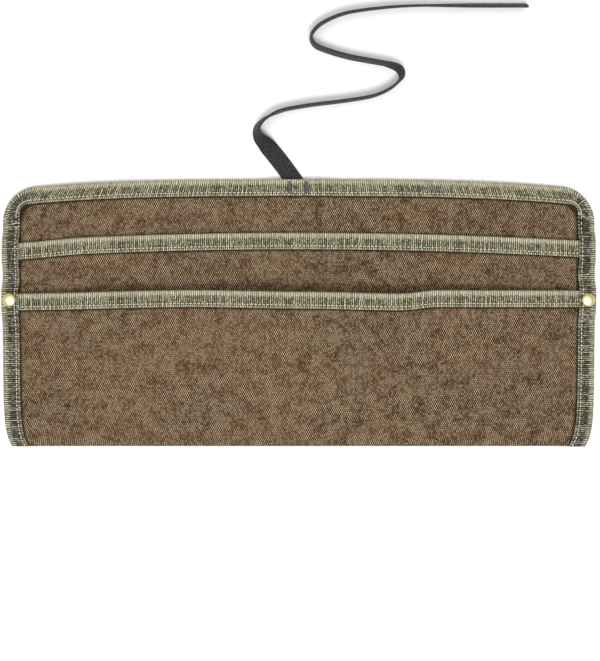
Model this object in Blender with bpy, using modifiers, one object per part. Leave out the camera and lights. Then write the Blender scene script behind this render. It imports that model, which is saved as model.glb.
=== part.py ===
"""A chef's knife roll lying open on its back: a canvas shell folded up into one pocket, its lining,
three tape bindings, two brass rivets and a webbing tie strap.

Metres. X runs across the roll, Y up it from the bottom fold to the flap's edge, and Z up from the table.
The origin is the middle of the roll's flat underside.
"""

import math

import bmesh
import bpy

MM = 0.001

# The open roll, measured over its tapes.
ROLL_WIDTH = 338.8 * MM
ROLL_HEIGHT = 152.6 * MM
FLAP_HEIGHT = 30.6 * MM  # flap's edge down to the lining's bound edge
LINING_SHOWN = 34.0 * MM  # lining's bound edge down to the pocket's mouth
CORNER_RADIUS = 19.0 * MM
LINING_FOOT = 2.5 * MM  # how far the lining stops above the bottom fold's curve
FLAP_ARCH = 6.0 * MM  # how far the flap's edge falls from its middle to its sides
LINING_ARCH = 5.0 * MM  # the same for the lining's edge

# Cloth.
CANVAS = 1.0 * MM
TAPE = 1.0 * MM
TAPE_WIDTH = 9.5 * MM  # as seen on one face, the tape being folded over the edge
CLEARANCE = 0.3 * MM  # between any two layers

# How the pocket stands open.
MOUTH_GAPE = 10.0 * MM  # lift of the front panel at the middle of the mouth
FOLD_FULLNESS = 1.5 * MM  # lift of the front panel at the middle of the bottom fold
CREASE_DEPTH = 0.8 * MM  # of the vertical crease down the middle of the front panel

# Rivets.
CAP_DIAMETER = 7.6 * MM
CAP_HEIGHT = 1.8 * MM
CAP_RIM = 0.5 * MM
BACK_DIAMETER = 7.0 * MM
BACK_THICKNESS = 0.8 * MM
SHANK_DIAMETER = 3.0 * MM

# Tie strap.
STRAP_WIDTH = 10.0 * MM
STRAP_THICKNESS = 1.5 * MM
STRAP_LENGTH = 333.0 * MM
STRAP_SEWN = 15.0 * MM  # the stretch of it that lies under the flap
STRAP_OFFSET = 4.0 * MM  # the sewn end's distance to the right of the middle

# Counts.
FOLD_STEPS = 6
STRAP_STEPS = 120
TURNED_STEPS = 24
DOME_STEPS = 5

# Worked out from the sizes above.
HALF_WIDTH = ROLL_WIDTH / 2
BOTTOM = -ROLL_HEIGHT / 2
TOP = ROLL_HEIGHT / 2
LINING_LINE = TOP - FLAP_HEIGHT
MOUTH_LINE = LINING_LINE - LINING_SHOWN
CANVAS_STEP = CANVAS + CLEARANCE
TAPE_STEP = TAPE + CLEARANCE
FOLD_REACH = (CANVAS + CANVAS_STEP + CLEARANCE + FOLD_FULLNESS) / 2  # depth of the fold's own curve
FOLD_LINE = BOTTOM + CANVAS / 2 + FOLD_REACH  # where the flat panels begin
STRAIGHT_HALF = HALF_WIDTH - CORNER_RADIUS  # the stretch between a corner's centre and the middle
INNER_RADIUS = CORNER_RADIUS - TAPE_STEP  # a corner of the shell, inside its tape
RIVET_LIFT = BACK_THICKNESS + CLEARANCE
STRAP_LIFT = STRAP_THICKNESS + CLEARANCE
BOUND_EDGE = TAPE_STEP / TAPE_WIDTH  # a panel's edge lies this share of the tape's width inside the tape

# Outline of the sides: share of the roll's height above the fold, share of its half width.
SIDE_SHAPE = (
    (0.00, 0.975),
    (0.02, 0.983),
    (0.05, 0.990),
    (0.20, 0.9955),
    (0.67, 1.000),
    (1.00, 1.000),
)

# Line of the pocket mouth: share of the half width from the middle, rise as a share of the tape's width.
MOUTH_SHAPE = (
    (-1.00, -0.10),
    (-0.35, 0.09),
    (0.00, 0.00),
    (0.34, -0.11),
    (0.47, 0.09),
    (1.00, 0.09),
)

# Route of the strap from its sewn end: share of its length, heading in degrees from +X.
STRAP_HEADINGS = (
    (0.000, 122),
    (0.104, 129),
    (0.133, 139),
    (0.149, 100),
    (0.159, 58),
    (0.180, 32),
    (0.222, 11),
    (0.288, 6),
    (0.356, 10),
    (0.394, 28),
    (0.424, 50),
    (0.433, 97),
    (0.450, 158),
    (0.476, 170),
    (0.517, 170),
    (0.588, 158),
    (0.606, 110),
    (0.618, 59),
    (0.643, 31),
    (0.702, 9),
    (0.832, 0),
    (1.000, 0),
)

# Twist of the strap: share of its length, degrees from flat on the table to standing on its edge.
STRAP_TWIST = (
    (0.00, 0),
    (0.11, 0),
    (0.13, 45),
    (0.15, 70),
    (0.20, 88),
    (0.42, 86),
    (0.44, 75),
    (0.47, 88),
    (0.62, 88),
    (0.70, 82),
    (0.83, 78),
    (0.90, 72),
    (1.00, 72),
)

# The sheets share one lattice, so that neighbouring layers stay one clearance apart between its points.
# A row is numbered 0 at the bottom fold, 1 and 2 at the lower and upper edges of the mouth's tape, 3 and 4
# at those of the lining's tape and 5 at the shell's edge on the flap, with shares of a row between them.
# A column is 0 in the middle, 1 at a corner's centre and 2 at the shell's side, its last unit being that
# corner's quarter turn.
ROW_LINES = ("fold", "mouth tape foot", "mouth", "lining tape foot", "lining", "flap")
MOUTH_ROW = ROW_LINES.index("mouth")
LINING_ROW = ROW_LINES.index("lining")
FLAP_ROW = ROW_LINES.index("flap")
FRONT_EDGE_ROW = MOUTH_ROW - BOUND_EDGE  # the front panel's own edge, inside its tape
LINING_EDGE_ROW = LINING_ROW - BOUND_EDGE
LINING_FOOT_ROW = LINING_FOOT / (MOUTH_LINE - TAPE_WIDTH - FOLD_LINE)
CORNER_COLUMNS = (1 + 15 / 90, 1 + 30 / 90, 1 + 50 / 90, 1 + 70 / 90, 2)
SEAM_COLUMN = CORNER_COLUMNS[1]  # from here out the layers lie flat between the side tape's two legs
STRAP_COLUMN = 1.2 * STRAP_WIDTH / STRAIGHT_HALF  # half the stretch of the flap that the strap lifts
HALF_COLUMNS = (STRAP_COLUMN, 2 * STRAP_COLUMN, 0.32, 0.48, 0.65, 0.82, 1, *CORNER_COLUMNS)
COLUMNS = (*(-column for column in reversed(HALF_COLUMNS)), 0, *HALF_COLUMNS)
FRONT_ROWS = (0, 0.07, 0.2, 0.4, 0.6, 0.8, 0.9, 1, 1.5, FRONT_EDGE_ROW)
LINING_ROWS = (LINING_FOOT_ROW, 0.07, 0.3, 0.6, 0.9, 1, 2, 2.4, 2.6, 3, 3.5, LINING_EDGE_ROW)
BACK_ROWS = (0, 0.07, 0.3, 0.6, 0.9, 1, 2, 2.4, 2.6, 3, 4, 4.22, 4.4, 4.58, 4.7, 4.86, FLAP_ROW)
SIDE_ROWS = (0, LINING_FOOT_ROW, 0.07, 0.3, 0.6, 0.9, 1, 1.5, 2, 2.4, 2.6, 3, 3.5, 4, 4.3, 4.6)


def ramp(value, start, end):
    """0 at start, 1 at end and straight between them."""
    return min(max((value - start) / (end - start), 0), 1)


def look_up(table, place):
    """The second column of a table where its first column has this value."""
    for (start, before), (end, after) in zip(table, table[1:]):
        if place <= end:
            return before + (after - before) * ramp(place, start, end)
    return table[-1][1]


def half_width(y):
    return HALF_WIDTH * look_up(SIDE_SHAPE, (y - BOTTOM) / ROLL_HEIGHT)


def corner_turn(column):
    """The angle along a corner's quarter turn, 0 on the straight stretch."""
    return max(abs(column) - 1, 0) * math.pi / 2


def flap_outline(column, inset):
    """A point of the flap's edge, this far inside the outside of its tape."""
    turn = corner_turn(column)
    radius = CORNER_RADIUS - inset
    x = min(abs(column), 1) * STRAIGHT_HALF + radius * math.sin(turn)
    y = TOP - FLAP_ARCH * (x / HALF_WIDTH) ** 3 - CORNER_RADIUS + radius * math.cos(turn)
    return math.copysign(x, column), y


def mouth_height(x):
    return MOUTH_LINE + TAPE_WIDTH * look_up(MOUTH_SHAPE, x / HALF_WIDTH)


def lining_height(x):
    return LINING_LINE - LINING_ARCH * (x / HALF_WIDTH) ** 2


def row_height(column, row):
    """The height up the roll of a row where it crosses a column."""
    x, flap = flap_outline(column, TAPE_STEP)
    mouth = mouth_height(x)
    lining = lining_height(x)
    lines = (FOLD_LINE, mouth - TAPE_WIDTH, mouth, lining - TAPE_WIDTH, lining, flap)
    below = min(max(int(row), 0), len(lines) - 2)
    return lines[below] + (row - below) * (lines[below + 1] - lines[below])


def column_place(column, y):
    """Where a column crosses this height: the sides' outline moves the columns in near the fold."""
    reach = (half_width(y) - CORNER_RADIUS) * min(abs(column), 1)
    return math.copysign(reach + INNER_RADIUS * math.sin(corner_turn(column)), column)


def mouth_zone(row):
    """1 where the mouth's tape lies, fading out on both sides of it."""
    return ramp(row, 0.9, 1) * (1 - ramp(row, 2, 2.4))


def lining_zone(row):
    """1 where the lining's tape lies."""
    return ramp(row, 2.6, 3) * (1 - ramp(row, 4, 4.6))


def seam_zone(column):
    """1 between the legs of a side tape."""
    return ramp(abs(column), 1, SEAM_COLUMN)


def bound_zone(column, row):
    """1 between the legs of the tape around the shell."""
    return 1 - (1 - seam_zone(column)) * (1 - ramp(row, 4.4, 4.7))


def ground(column, row):
    """The height of the lowest cloth, which the rivets' backs and the strap's sewn end lift off the table."""
    rivets = RIVET_LIFT * seam_zone(column) * mouth_zone(row)
    strap = STRAP_LIFT * (1 - ramp(abs(column), STRAP_COLUMN, 2 * STRAP_COLUMN)) * ramp(row, 4.22, 4.58)
    return rivets + strap


def back_underside(column, row):
    return ground(column, row) + TAPE_STEP * bound_zone(column, row)


def lining_underside(column, row):
    return back_underside(column, row) + CANVAS_STEP + TAPE_STEP * lining_zone(row)


def pocket_lift(column, row):
    """How far the front panel stands off the layers under it."""
    share = (row_height(column, row) - FOLD_LINE) / (row_height(column, MOUTH_ROW) - FOLD_LINE)
    across = math.cos(math.pi / 2 * min(abs(column) / SEAM_COLUMN, 1)) ** 1.5
    crease = CREASE_DEPTH * (1 - ramp(abs(column), 0, STRAP_COLUMN)) * share
    return across * (MOUTH_GAPE * math.sin(math.pi / 2 * share) + FOLD_FULLNESS * (1 - share)) - crease


def front_underside(column, row):
    flat = back_underside(column, row) + 2 * CANVAS_STEP + TAPE_STEP * mouth_zone(row)
    return flat + pocket_lift(column, row)


def seam_top(row):
    """The height of the layers between the legs of a side tape."""
    lining = (1 - ramp(row, 4, 4.6)) * CANVAS_STEP + lining_zone(row) * 2 * TAPE_STEP
    front = (1 - ramp(row, 2, 2.4)) * CANVAS_STEP + mouth_zone(row) * 2 * TAPE_STEP
    return back_underside(2, row) + CANVAS + lining + front


def make_material(name, colour, roughness, metallic=0.0):
    material = bpy.data.materials.new(name)
    material.use_nodes = True
    shader = material.node_tree.nodes["Principled BSDF"]
    shader.inputs["Base Color"].default_value = (*colour, 1)
    shader.inputs["Roughness"].default_value = roughness
    shader.inputs["Metallic"].default_value = metallic
    material.diffuse_color = (*colour, 1)
    return material


def add_object(name, mesh, collection, material=None):
    thing = bpy.data.objects.new(name, mesh)
    collection.objects.link(thing)
    if material:
        mesh.materials.append(material)
    return thing


def make_sheet(name, lines, thickness, collection, material):
    """A sheet of even thickness through lines of points, all with the same number of points."""
    mesh = bpy.data.meshes.new(name)
    grid = bmesh.new()
    across = len(lines[0])
    bmesh.ops.create_grid(grid, x_segments=across - 1, y_segments=len(lines) - 1, size=1)
    grid.verts.ensure_lookup_table()
    for number, vertex in enumerate(grid.verts):
        vertex.co = lines[number // across][number % across]
    grid.to_mesh(mesh)
    grid.free()
    sheet = add_object(name, mesh, collection, material)
    wall = sheet.modifiers.new("Wall", "SOLIDIFY")
    wall.thickness = thickness
    wall.offset = 0
    wall.use_even_offset = True
    return sheet


def lattice_point(column, row, height):
    y = row_height(column, row)
    return column_place(column, y), y, height


def fold_point(column, turn):
    """A point of the bottom fold, from the back panel at turn 0 to the front panel at half a turn."""
    low = back_underside(column, 0) + CANVAS / 2
    high = front_underside(column, 0) + CANVAS / 2
    y = FOLD_LINE - FOLD_REACH * math.sin(turn)
    return column_place(column, y), y, (low + high) / 2 - (high - low) / 2 * math.cos(turn)


def make_shell(collection, material):
    """One piece of canvas: the back panel with its flap, the bottom fold and the pocket's front panel."""
    lines = []
    for row in reversed(BACK_ROWS):
        lines.append([
            lattice_point(column, row, back_underside(column, row) + CANVAS / 2)
            for column in COLUMNS
        ])
    for step in range(1, FOLD_STEPS):
        turn = math.pi * step / FOLD_STEPS
        lines.append([fold_point(column, turn) for column in COLUMNS])
    for row in FRONT_ROWS:
        lines.append([
            lattice_point(column, row, front_underside(column, row) + CANVAS / 2)
            for column in COLUMNS
        ])
    return make_sheet("shell", lines, CANVAS, collection, material)


def make_lining(collection, material):
    """The panel behind the pocket, lying on the back panel from the fold to its own bound edge."""
    lines = [
        [lattice_point(column, row, lining_underside(column, row) + CANVAS / 2) for column in COLUMNS]
        for row in LINING_ROWS
    ]
    return make_sheet("lining", lines, CANVAS, collection, material)


def binding_section(heights):
    """The folded tape seen end on, as distance inside its outer edge and height. heights gives the bottom
    and top of the cloth that it holds, at each distance."""
    spread = CLEARANCE + TAPE / 2
    legs = (TAPE_WIDTH, (TAPE_WIDTH + TAPE_STEP) / 2, TAPE_STEP)
    bottom, top = heights(TAPE_STEP)
    section = [(distance, heights(distance)[0] - spread) for distance in legs]
    for corner, turns in ((bottom, (-45, 0)), (top, (0, 45))):
        for turn in turns:
            angle = math.radians(turn)
            section.append((TAPE_STEP - spread * math.cos(angle), corner + spread * math.sin(angle)))
    section += [(distance, heights(distance)[1] + spread) for distance in reversed(legs)]
    return section


def make_panel_binding(name, edge_row, underside, collection, material):
    """Tape folded over the upper edge of a panel, whose tape ends at edge_row."""
    lines = []
    for column in COLUMNS:

        def heights(distance):
            low = underside(column, edge_row - distance / TAPE_WIDTH)
            return low, low + CANVAS

        lines.append([
            lattice_point(column, edge_row - distance / TAPE_WIDTH, height)
            for distance, height in binding_section(heights)
        ])
    return make_sheet(name, lines, TAPE, collection, material)


def side_line(side, row):
    """The side tape's section at a row. It ends flush with the bottom fold."""
    bottom = back_underside(2, row)
    top = seam_top(row)
    y = row_height(2 * side, row)
    section = binding_section(lambda distance: (bottom, top))
    return [(side * (half_width(y) - distance), y, height) for distance, height in section]


def flap_line(column):
    """The flap tape's section at a column."""
    bottom = back_underside(column, FLAP_ROW)
    section = binding_section(lambda distance: (bottom, bottom + CANVAS))
    return [(*flap_outline(column, distance), height) for distance, height in section]


def make_edge_binding(collection, material):
    """One length of tape: up the left side, across the flap and down the right side."""
    foot = (BOTTOM - FOLD_LINE) / (row_height(2, 1) - FOLD_LINE)
    rows = (foot, *SIDE_ROWS)
    lines = [side_line(-1, row) for row in rows]
    lines += [flap_line(column) for column in COLUMNS]
    lines += [side_line(1, row) for row in reversed(rows)]
    return make_sheet("edge_binding", lines, TAPE, collection, material)


def rivet_place(side):
    """The middle of the side tape, beside the middle of the mouth's tape."""
    y = MOUTH_LINE - TAPE_WIDTH / 2
    return side * (half_width(y) - TAPE_WIDTH / 2), y


def make_rivet(name, side, collection, material):
    """A domed cap, a shank through every layer and a flat back, turned as one piece."""
    seat = seam_top(1.5) + TAPE_STEP + CLEARANCE
    cap = CAP_DIAMETER / 2
    profile = [(0, seat + CAP_HEIGHT)]
    for step in range(1, DOME_STEPS + 1):
        turn = math.pi / 2 * step / DOME_STEPS
        profile.append((cap * math.sin(turn), seat + CAP_RIM + (CAP_HEIGHT - CAP_RIM) * math.cos(turn)))
    profile += [
        (cap, seat),
        (SHANK_DIAMETER / 2, seat),
        (SHANK_DIAMETER / 2, BACK_THICKNESS),
        (BACK_DIAMETER / 2, BACK_THICKNESS),
        (BACK_DIAMETER / 2, 0),
        (0, 0),
    ]
    mesh = bpy.data.meshes.new(name)
    edges = [(number, number + 1) for number in range(len(profile) - 1)]
    mesh.from_pydata([(radius, 0, height) for radius, height in profile], edges, [])
    rivet = add_object(name, mesh, collection, material)
    rivet.location = (*rivet_place(side), 0)
    turned = rivet.modifiers.new("Turned", "SCREW")
    turned.steps = TURNED_STEPS
    turned.render_steps = TURNED_STEPS
    turned.use_merge_vertices = True
    turned.merge_threshold = 0.01 * MM
    return rivet


def drill(sheets, collection):
    """Holes for the rivets' shanks through each sheet."""
    reach = seam_top(1.5) + TAPE_STEP + CLEARANCE
    for side, label in ((-1, "left"), (1, "right")):
        bpy.ops.mesh.primitive_cylinder_add(
            vertices=TURNED_STEPS,
            radius=SHANK_DIAMETER / 2 + CLEARANCE,
            depth=2 * reach,
            location=(*rivet_place(side), reach / 2),
        )
        cutter = bpy.context.object
        cutter.name = f"cutter_rivet_{label}"
        for owner in list(cutter.users_collection):
            owner.objects.unlink(cutter)
        collection.objects.link(cutter)
        cutter.hide_render = True
        cutter.display_type = "WIRE"
        for sheet in sheets:
            hole = sheet.modifiers.new(f"Rivet hole {label}", "BOOLEAN")
            hole.operation = "DIFFERENCE"
            hole.solver = "EXACT"
            hole.object = cutter


def make_strap(collection, material):
    """The webbing tie: flat where it is sewn under the flap, then on its edge along the table."""
    step = STRAP_LENGTH / STRAP_STEPS
    start = math.radians(STRAP_HEADINGS[0][1])
    x = STRAP_OFFSET
    y = TOP - STRAP_SEWN * math.sin(start)
    lines = []
    for number in range(STRAP_STEPS + 1):
        share = number / STRAP_STEPS
        heading = math.radians(look_up(STRAP_HEADINGS, share))
        twist = math.radians(look_up(STRAP_TWIST, share))
        side = STRAP_WIDTH / 2 * math.cos(twist)
        rise = STRAP_WIDTH / 2 * math.sin(twist)
        middle = rise + STRAP_THICKNESS / 2 * math.cos(twist)
        lines.append([
            (x + end * side * math.sin(heading), y - end * side * math.cos(heading), middle + end * rise)
            for end in (-1, 1)
        ])
        ahead = math.radians(look_up(STRAP_HEADINGS, share + 0.5 / STRAP_STEPS))
        x += step * math.cos(ahead)
        y += step * math.sin(ahead)
    return make_sheet("strap", lines, STRAP_THICKNESS, collection, material)


def main():
    for thing in list(bpy.data.objects):
        bpy.data.objects.remove(thing)
    roll = bpy.data.collections.new("knife_roll")
    cutters = bpy.data.collections.new("cutters")
    bpy.context.scene.collection.children.link(roll)
    bpy.context.scene.collection.children.link(cutters)

    canvas = make_material("canvas", (0.121, 0.084, 0.058), 0.9)
    tape = make_material("tape", (0.264, 0.246, 0.162), 0.85)
    brass = make_material("brass", (0.80, 0.68, 0.38), 0.25, metallic=1.0)
    webbing = make_material("webbing", (0.026, 0.025, 0.026), 0.75)

    shell = make_shell(roll, canvas)
    lining = make_lining(roll, canvas)
    make_panel_binding("lining_binding", LINING_ROW, lining_underside, roll, tape)
    pocket_binding = make_panel_binding("pocket_binding", MOUTH_ROW, front_underside, roll, tape)
    edge_binding = make_edge_binding(roll, tape)
    make_rivet("rivet_left", -1, roll, brass)
    make_rivet("rivet_right", 1, roll, brass)
    drill([shell, lining, pocket_binding, edge_binding], cutters)
    make_strap(roll, webbing)


main()
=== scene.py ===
import math

import bpy
import numpy as np
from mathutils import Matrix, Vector


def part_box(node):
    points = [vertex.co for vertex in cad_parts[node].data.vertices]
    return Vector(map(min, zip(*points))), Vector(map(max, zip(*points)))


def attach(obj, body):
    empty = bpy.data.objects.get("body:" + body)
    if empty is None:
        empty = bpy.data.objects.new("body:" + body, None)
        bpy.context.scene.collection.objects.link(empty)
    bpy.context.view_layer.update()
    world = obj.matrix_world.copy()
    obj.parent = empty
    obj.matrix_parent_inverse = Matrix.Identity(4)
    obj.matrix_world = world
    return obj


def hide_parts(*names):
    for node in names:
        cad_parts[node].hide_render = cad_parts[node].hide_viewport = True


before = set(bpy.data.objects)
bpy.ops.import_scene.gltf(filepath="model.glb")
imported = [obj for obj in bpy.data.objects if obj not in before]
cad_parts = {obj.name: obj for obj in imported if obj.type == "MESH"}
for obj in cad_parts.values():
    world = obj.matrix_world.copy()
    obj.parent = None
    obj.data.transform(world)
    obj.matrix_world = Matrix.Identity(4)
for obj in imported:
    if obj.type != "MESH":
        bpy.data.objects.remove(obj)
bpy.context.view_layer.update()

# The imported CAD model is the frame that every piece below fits.
MM = 0.001

# Camera
# Straight above the roll, as in the photograph, whose middle lies a little below the roll's own middle.
# The long side of the picture takes in 377.7 mm at the height of the cloth.
PICTURE_HEIGHT = 377.7 * MM
PICTURE_MIDDLE = (0.7 * MM, -10.3 * MM)
CLOTH_HEIGHT = 5 * MM
LENS = 85
SENSOR = 36

lens_data = bpy.data.cameras.new("camera")
lens_data.lens = LENS
lens_data.sensor_width = SENSOR
camera = bpy.data.objects.new("camera", lens_data)
bpy.context.scene.collection.objects.link(camera)
camera.location = (*PICTURE_MIDDLE, CLOTH_HEIGHT + PICTURE_HEIGHT * LENS / SENSOR)
bpy.context.scene.camera = camera

# Shell
# One piece of waxed cotton duck. It is the back panel with its flap, is folded up along the bottom and
# comes back as the front panel of the pocket. It is cut to shape, so all its edges but the fold are bound.
edge_low, edge_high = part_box("edge_binding")
HALF_WIDTH = edge_high.x
BOTTOM = edge_low.y
TOP = edge_high.y
CORNER_RADIUS = 19 * MM
CORNER_EASE = 0.53  # how fast a corner's centre moves out towards the tape's tight inner edge
FLAP_ARCH = 6 * MM
SIDE_SLANT = 1 * MM
SLANT_HEIGHT = 102 * MM
FOOT_DRAW = 4.8 * MM
FOOT_REACH = 7.5 * MM
FLAP_HEIGHT = 30.6 * MM  # flap's edge down to the lining's edge
LINING_SHOWN = 34 * MM  # lining's edge down to the pocket's mouth
LINING_ARCH = 5 * MM
LINING_DROOP = 1.4 * MM  # the lining's left end is sewn on lower
DROOP_START = 122 * MM
DROOP_END = 162 * MM
MOUTH_LINE = TOP - FLAP_HEIGHT - LINING_SHOWN
CANVAS = 1 * MM
TAPE = 1 * MM
TAPE_WIDTH = 9.5 * MM
CLEARANCE = 0.3 * MM
CANVAS_STEP = CANVAS + CLEARANCE
TAPE_STEP = TAPE + CLEARANCE
STRAIGHT_HALF = HALF_WIDTH - CORNER_RADIUS
MOUTH_GAPE = 10 * MM
FOLD_FULLNESS = 1.5 * MM
SLACK_HEIGHT = 1.1 * MM
CREASE_DEPTH = 0.9 * MM
SECOND_CREASE_DEPTH = 0.5 * MM
RIPPLE_HEIGHT = 0.45 * MM
SAG_DEPTH = 0.4 * MM
FOLD_REACH = (CANVAS + CANVAS_STEP + CLEARANCE + FOLD_FULLNESS) / 2
FOLD_LINE = BOTTOM + CANVAS / 2 + FOLD_REACH
RIVET_LIFT = 1.1 * MM  # the rivets' backs hold the side tapes off the table
STRAP_LIFT = 1.8 * MM  # and so does the strap's sewn end
STRAP_COLUMN = 12 * MM / STRAIGHT_HALF
SEAM_COLUMN = 1 + 30 / 90
STITCH_INSET = 1.9 * MM  # stitches inside a tape's free edge
STITCH_DENT = 0.22 * MM  # how far the thread pulls the tape in

# Line of the pocket's mouth: share of the half width from the middle, rise as a share of the tape's width.
MOUTH_SHAPE = ((-1, -0.10), (-0.35, 0.09), (0, 0), (0.34, -0.11), (0.47, 0.09), (1, 0.09))


def ease(value, start, end):
    """0 at start, 1 at end and smooth between them."""
    share = np.clip((value - start) / (end - start), 0, 1)
    return share * share * (3 - 2 * share)


def hump(value, middle, half_length):
    """1 at the middle and 0 at half its length away."""
    return 1 - ease(np.abs(value - middle), 0, half_length)


def half_width(y):
    """The sides draw in a little towards the fold, and quickly round its ends."""
    height = y - BOTTOM
    slant = SIDE_SLANT * np.clip(1 - height / SLANT_HEIGHT, 0, 1)
    return HALF_WIDTH - FOOT_DRAW * np.exp(-height / FOOT_REACH) - slant


def corner_turn(column):
    return np.maximum(np.abs(column) - 1, 0) * math.pi / 2


def flap_outline(column, inset):
    """A point of the flap's edge. Columns run from -2 to 2, and their last unit is a quarter turn."""
    turn = corner_turn(column)
    centre = CORNER_RADIUS - CORNER_EASE * inset
    radius = centre - inset
    x = np.minimum(np.abs(column), 1) * (HALF_WIDTH - centre) + radius * np.sin(turn)
    y = TOP - FLAP_ARCH * (x / HALF_WIDTH) ** 3 - centre + radius * np.cos(turn)
    return np.copysign(x, column), y


def mouth_height(x):
    places, rises = np.array(MOUTH_SHAPE).T
    share = x / HALF_WIDTH
    before = np.clip(np.searchsorted(places, share) - 1, 0, len(places) - 2)
    blend = ease(share, places[before], places[before + 1])
    return MOUTH_LINE + TAPE_WIDTH * (rises[before] + (rises[before + 1] - rises[before]) * blend)


def lining_height(x):
    droop = LINING_DROOP * ease(-x, DROOP_START, DROOP_END)
    return TOP - FLAP_HEIGHT - LINING_ARCH * (x / HALF_WIDTH) ** 2 - droop


def row_height(column, row):
    """Rows run from 0 at the fold to 5 at the flap's edge, with 1 and 2 at the edges of the mouth's tape
    and 3 and 4 at those of the lining's tape."""
    x, flap = flap_outline(column, TAPE_STEP)
    mouth = mouth_height(x)
    lining = lining_height(x)
    fold = np.full_like(x, FOLD_LINE)
    lines = np.stack(np.broadcast_arrays(fold, mouth - TAPE_WIDTH, mouth, lining - TAPE_WIDTH, lining, flap))
    below = np.clip(np.floor(row), 0, len(lines) - 2).astype(int)
    low = np.take_along_axis(lines, below[None], 0)[0]
    high = np.take_along_axis(lines, below[None] + 1, 0)[0]
    return low + (row - below) * (high - low)


def column_place(column, y):
    reach = (half_width(y) - CORNER_RADIUS) * np.minimum(np.abs(column), 1)
    return np.copysign(reach + (CORNER_RADIUS - TAPE_STEP) * np.sin(corner_turn(column)), column)


def mouth_zone(row):
    return ease(row, 0.88, 1) * (1 - ease(row, 2, 2.42))


def lining_zone(row):
    return ease(row, 2.58, 3) * (1 - ease(row, 4, 4.6))


def seam_zone(column):
    return ease(np.abs(column), 0.97, SEAM_COLUMN)


def bound_zone(column, row):
    return 1 - (1 - seam_zone(column)) * (1 - ease(row, 4.35, 4.72))


def slack(column, row):
    """Low, broad waves that loose cloth keeps where nothing holds it flat."""
    x, y = column * STRAIGHT_HALF, row_height(column, row)
    wave = 0.5 + 0.5 * np.sin(x / (23 * MM) + 0.7) * np.sin(y / (31 * MM) + x / (90 * MM))
    held = ease(np.abs(column), 2 * STRAP_COLUMN, 4 * STRAP_COLUMN) * (1 - ease(np.abs(column), 0.8, 1.1))
    return SLACK_HEIGHT * wave * held * ease(row, 3.6, 4.8)


def ground(column, row):
    """The height of the lowest cloth above the table."""
    rivets = RIVET_LIFT * seam_zone(column) * mouth_zone(row)
    strap = STRAP_LIFT * (1 - ease(np.abs(column), STRAP_COLUMN, 2.2 * STRAP_COLUMN)) * ease(row, 4.2, 4.6)
    return rivets + strap + slack(column, row)


def back_underside(column, row):
    return ground(column, row) + TAPE_STEP * bound_zone(column, row)


def lining_underside(column, row):
    return back_underside(column, row) + CANVAS_STEP + TAPE_STEP * lining_zone(row)


def pocket_lift(column, row):
    """The front panel stands open, with a crease down its middle and soft ripples under its mouth."""
    y = row_height(column, row)
    share = (y - FOLD_LINE) / (row_height(column, np.full_like(row, 2.0)) - FOLD_LINE)
    share = np.clip(share, 0, 1.2)
    across = np.cos(math.pi / 2 * np.minimum(np.abs(column) / SEAM_COLUMN, 1)) ** 1.5
    x = column * STRAIGHT_HALF
    crease = CREASE_DEPTH * hump(x, 3 * MM - 5 * MM * share, 7 * MM) * ease(share, 0, 0.4)
    second = SECOND_CREASE_DEPTH * hump(x, 19 * MM - 9 * MM * share, 6 * MM) * ease(share, 0.1, 0.5)
    ripple = np.sin(x / (17 * MM) + 2.2 * share) * np.sin(x / (41 * MM) + 3 * share + 0.6)
    sag = SAG_DEPTH * np.sin(x / (29 * MM) + 5 * share) * np.sin(math.pi * share)
    rise = MOUTH_GAPE * np.sin(math.pi / 2 * np.minimum(share, 1)) + FOLD_FULLNESS * (1 - share)
    return across * (rise + RIPPLE_HEIGHT * ripple * share + sag - crease - second)


def front_underside(column, row):
    flat = back_underside(column, row) + 2 * CANVAS_STEP + TAPE_STEP * mouth_zone(row)
    return flat + pocket_lift(column, row)


def seam_top(row):
    """The height of the layers between the legs of a side tape."""
    lining = (1 - ease(row, 4, 4.6)) * CANVAS_STEP + lining_zone(row) * 2 * TAPE_STEP
    front = (1 - ease(row, 2, 2.42)) * CANVAS_STEP + mouth_zone(row) * 2 * TAPE_STEP
    return back_underside(np.full_like(row, 2.0), row) + CANVAS + lining + front


def lattice(columns, rows, height):
    """Points at the crossings of columns and rows, as rows of points."""
    column, row = np.meshgrid(columns, rows)
    y = row_height(column, row)
    return np.stack([column_place(column, y), y, height(column, row)], axis=2)


def lengths_along(points, axis):
    """Running length along the lines of points, averaged over them, in metres."""
    steps = np.linalg.norm(np.diff(points, axis=axis), axis=2).mean(axis=1 - axis)
    return np.concatenate([[0], np.cumsum(steps)])


def seam_distance(points, tape_foot):
    """How far points of a panel lie from the free edges of the tapes that cover its edges. tape_foot is the
    line of the tape across it."""
    x, y = points[..., 0], points[..., 1]
    across, up = np.abs(x), TOP - FLAP_ARCH * (np.abs(x) / HALF_WIDTH) ** 3 - y
    inset = np.minimum(half_width(y) - across, up)
    corner = (CORNER_RADIUS - (half_width(y) - across), CORNER_RADIUS - up)
    turned = CORNER_RADIUS - np.hypot(*corner)
    inset = np.where((corner[0] > 0) & (corner[1] > 0), turned, inset)
    return np.minimum(inset - TAPE_WIDTH, np.abs(y - tape_foot(x)))


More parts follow.
